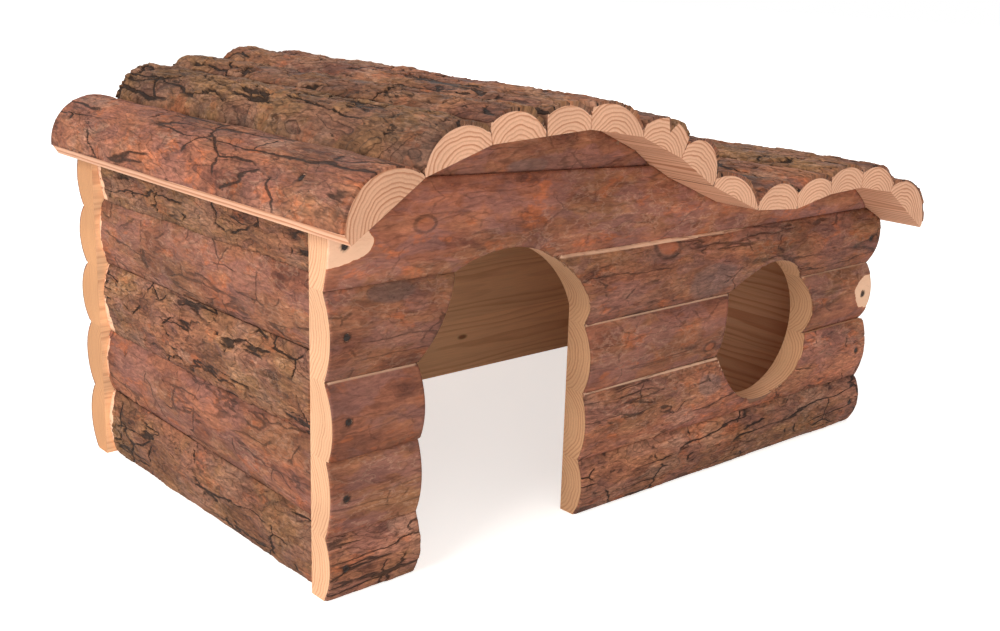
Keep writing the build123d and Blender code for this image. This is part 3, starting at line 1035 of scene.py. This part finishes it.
def sawn_look(node, wood):
    """Return the early wood's colour, the contrast of the rings and the painted shade on the ends of one
    slab.
    """
    part = node.split("_")[0]
    early = {"roof": wood.roof_early, "back": wood.back_early}.get(part, wood.early)
    tint = END_PAINTED_SHADE.get(node, END_PAINTED_SHADE.get("jamb" if by_opening(node) else part, NO_END_SHADE))
    return tuple(early), RING_CONTRAST[part], tint


def by_opening(node):
    """Return whether a slab lies beside the doorway or the window, right of its edge."""
    return node.startswith("front") and node.endswith(("right", "middle"))


def pith_of(node, outward):
    """Return a point on the pith line of the log that a slab was sawn from."""
    low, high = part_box(node)
    centre = (low + high) / 2
    bottom, top = slab_span(node, centre, outward)
    share = NEAR_PITH_SHARE if node.startswith("roof") or by_opening(node) else FAR_PITH_SHARE
    return centre + outward * (bottom - (top - bottom) * share)


def shaded_slat_sides(node, across):
    """Return the places, across a slab, beyond which its sides get painted shade where the slats meet. Only
    slats have them.
    """
    low, high = slab_span(node, Vector((0, 0, 0)), across) if node.startswith("roof") else (-FAR, FAR)
    if node == EAVE_SLATS[0]:
        high = FAR
    if node == EAVE_SLATS[1]:
        low = -FAR
    return low + SHADED_SIDE, high - SHADED_SIDE


def sawn_material(group, wood, node, seed):
    """Return the sawn wood of one slab, with its rings round that slab's own pith."""
    material, tree = new_material("sawn_" + node)
    outward, along = slab_facing(node)
    across = outward.cross(along)
    low, high = shaded_slat_sides(node, across)
    early, contrast, end_painted_shade = sawn_look(node, wood)
    inputs = {"Pith": pith_of(node, outward), "Along": along, "Ring width": wood.ring_width, "Seed": seed}
    rings = add_node(tree, "ShaderNodeGroup", inputs, node_tree=group)
    late, fibre = rings["Late"], rings["Fibre"]
    colour = blend(late * contrast, early, tuple(wood.late))
    shade = step_between(fibre, 0.3, 0.7, 0.93, 1.05) * step_between(rings["Broad"], 0.3, 0.7, 0.92, 1.05)
    colour = blend(rings["Knot"] * 0.8, times_shade(colour, shade), tuple(wood.knot))
    facing = add_node(tree, "ShaderNodeNewGeometry")["True Normal"]
    # End faces take the slab's painted shade, darkest on the jambs and on the back wall's ends, which the
    # lamps reach little.
    ends = step_between(abs(dot(facing, tuple(along))), 0.3, 0.8)
    colour = blend(ends, colour, blend(1.0, colour, end_painted_shade, "MULTIPLY"))
    # Painted shade on the slats' sides between them, and dark bark colour on the faces that turn outward
    # under the bark.
    sideways = dot(object_place(tree), tuple(across))
    under_bark = dot(facing, tuple(outward)) > 0.22
    grime = larger(larger(sideways < low, sideways > high), under_bark)
    colour = blend(grime * 0.85, colour, tuple(wood.grime))
    add_shader(tree, {
        "Base Color": colour,
        "Roughness": step_between(fibre, 0.3, 0.7, 0.62, 0.78),
        "Specular IOR Level": 0.3,
        "Normal": bumped(late * 0.35 + fibre * 0.5, WOOD_BUMPS, 0.6),
    })
    return material


def nail_material():
    """Return the dull, slightly rusty steel of the nails."""
    material, tree = new_material("nail_steel")
    steel, rust = srgb(48, 40, 36), srgb(40, 26, 20)
    spots = noise(object_place(tree), 1400.0, 4.0, 0.65)
    add_shader(tree, {
        "Base Color": blend(step_between(spots, 0.42, 0.62), steel, rust),
        "Metallic": step_between(spots, 0.42, 0.62, 0.6, 0.05),
        "Roughness": step_between(spots, 0.3, 0.7, 0.4, 0.8),
        "Normal": bumped(spots, STEEL_BUMPS, 0.6),
    })
    return material


# The studio


def seen_directly(tree):
    """Return 1 where the camera, a mirror or glass sees the surface itself."""
    path = add_node(tree, "ShaderNodeLightPath")
    return larger(larger(path["Is Camera Ray"], path["Is Glossy Ray"]), path["Is Transmission Ray"])


def add_floor(studio):
    """Add the pale floor, whose own glow for the camera makes it white and keeps a shadow."""
    mesh = bpy.data.meshes.new("floor")
    corners = [(x * FLOOR_HALF, y * FLOOR_HALF, 0) for x, y in ((-1, -1), (1, -1), (1, 1), (-1, 1))]
    mesh.from_pydata(corners, [], [(0, 1, 2, 3)])
    floor = new_object("floor", mesh)
    material, tree = new_material("floor_paper")
    paper = step_between(noise(object_place(tree), 8.0, 3.0), 0.3, 0.7, 0.985, 1.0)
    add_shader(tree, {
        "Base Color": times_shade(tuple(studio.floor), paper), "Roughness": 0.9, "Specular IOR Level": 0.0,
        "Emission Color": FLOOR_GLOW, "Emission Strength": seen_directly(tree) * GLOW_STRENGTH,
    })
    mesh.materials.append(material)


def add_world(scene, studio):
    """Light the house from all around, and show the camera plain white."""
    scene.world = bpy.data.worlds.new("studio")
    scene.world.use_nodes = True
    tree = scene.world.node_tree
    tree.nodes.clear()
    strength = seen_directly(tree) * (1.0 - studio.sky_strength) + studio.sky_strength
    sky = add_node(tree, "ShaderNodeBackground", {"Color": (1.0, 1.0, 1.0, 1.0), "Strength": strength})
    add_node(tree, "ShaderNodeOutputWorld", {"Surface": sky["Background"]})


def add_lamps(studio):
    """Add the soft square lamps, which look at the middle of the house."""
    for name, (place, size, colour) in LAMPS.items():
        lamp = bpy.data.lights.new(name + "_lamp", "AREA")
        lamp.shape = "SQUARE"
        lamp.size = size
        lamp.energy = getattr(studio, name + "_power")
        lamp.color = colour
        holder = new_object(name + "_lamp", lamp)
        holder.location = place
        holder.rotation_euler = (LIT_MIDDLE - Vector(place)).to_track_quat("-Z", "Y").to_euler()


def add_camera(scene, studio):
    """Add the camera where the photograph was taken from."""
    camera = new_object("photo_camera", bpy.data.cameras.new("photo_camera"))
    turn = Matrix.Rotation(studio.azimuth, 4, "Z") @ Matrix.Rotation(math.pi / 2 - studio.elevation, 4, "X")
    turn = turn @ Matrix.Rotation(studio.roll, 4, "Z")
    camera.matrix_world = Matrix.Translation(studio.eye) @ turn
    camera.data.sensor_width = 36.0
    camera.data.lens = studio.focal_length
    camera.data.clip_start = 0.01
    camera.data.clip_end = 50.0
    scene.camera = camera


# Operators and the panel


class LayBark(bpy.types.Operator):
    """Lay bark on the slabs of one part of the house."""

    bl_idname = "house.lay_bark"
    bl_label = "Bark"
    bl_options = {"REGISTER", "UNDO"}

    part: StringProperty(name="Part", description="front, back, left, right or roof", default="roof")

    def execute(self, context):
        settings = context.scene.rabbit_house
        own = {"front": settings.front_bark, "back": settings.front_bark, "roof": settings.roof_bark}
        look = own.get(self.part, settings.side_bark)
        tree = bpy.data.node_groups.get("bark_on_a_slab") or bark_tree()
        group = bpy.data.node_groups.get("bark_colours") or bark_colours_group()
        material = bpy.data.materials.get("bark") or bark_material(group, settings.bark, settings.wood)
        nails = join_nails()
        for number, node in enumerate(SLABS, start=1):
            if node.startswith(self.part):
                make_bark(tree, node, look, material, nails, number)
        bpy.data.objects.remove(nails)
        return {"FINISHED"}


class ShowSawnWood(bpy.types.Operator):
    """Give each CAD slab sawn wood, whose growth rings lie round that slab's own pith."""

    bl_idname = "house.show_sawn_wood"
    bl_label = "Sawn wood"
    bl_options = {"REGISTER", "UNDO"}

    def execute(self, context):
        wood = context.scene.rabbit_house.wood
        group = bpy.data.node_groups.get("growth_rings") or growth_rings_group()
        for index, node in enumerate(SLABS):
            dress_node(node, sawn_material(group, wood, node, index * 0.31))
        return {"FINISHED"}


class ShowNails(bpy.types.Operator):
    """Give the CAD nails dull steel."""

    bl_idname = "house.show_nails"
    bl_label = "Nails"
    bl_options = {"REGISTER", "UNDO"}

    def execute(self, context):
        steel = nail_material()
        for node in NAILS:
            dress_node(node, steel)
        return {"FINISHED"}


class SetUpStudio(bpy.types.Operator):
    """Add the floor, the lamps and the camera of the photograph."""

    bl_idname = "house.set_up_studio"
    bl_label = "Studio"
    bl_options = {"REGISTER", "UNDO"}

    def execute(self, context):
        studio = context.scene.rabbit_house.studio
        context.scene.view_settings.view_transform = "Standard"
        add_floor(studio)
        add_world(context.scene, studio)
        add_lamps(studio)
        add_camera(context.scene, studio)
        return {"FINISHED"}


class HousePanel(bpy.types.Panel):
    """Lists the steps that dress the rabbit house."""

    bl_idname = "HOUSE_PT_steps"
    bl_label = "Rabbit house"
    bl_space_type = "VIEW_3D"
    bl_region_type = "UI"
    bl_category = "Rabbit house"

    def draw(self, context):
        layout = self.layout
        for part in PARTS:
            layout.operator(LayBark.bl_idname, text=f"Bark: {part}").part = part
        for step in (ShowSawnWood, ShowNails, SetUpStudio):
            layout.operator(step.bl_idname)
        for name in SETTING_GROUPS:
            group = getattr(context.scene.rabbit_house, name)
            box = layout.box()
            box.label(text=name.replace("_", " ").capitalize())
            for field in group.__annotations__:
                box.prop(group, field)


CLASSES = [*SETTING_GROUPS.values(), HouseSettings, LayBark, ShowSawnWood, ShowNails, SetUpStudio, HousePanel]


def register():
    """Register the classes and hang the settings on the scene."""
    for entry in CLASSES:
        bpy.utils.register_class(entry)
    bpy.types.Scene.rabbit_house = PointerProperty(type=HouseSettings)


def unregister():
    """Take everything away that register added."""
    del bpy.types.Scene.rabbit_house
    for entry in reversed(CLASSES):
        bpy.utils.unregister_class(entry)


def main():
    """Dress the house step by step."""
    register()
    bpy.ops.house.set_up_studio()
    bpy.ops.house.show_sawn_wood()
    bpy.ops.house.show_nails()
    for part in PARTS:
        bpy.ops.house.lay_bark(part=part)


if __name__ == "__main__":
    main()
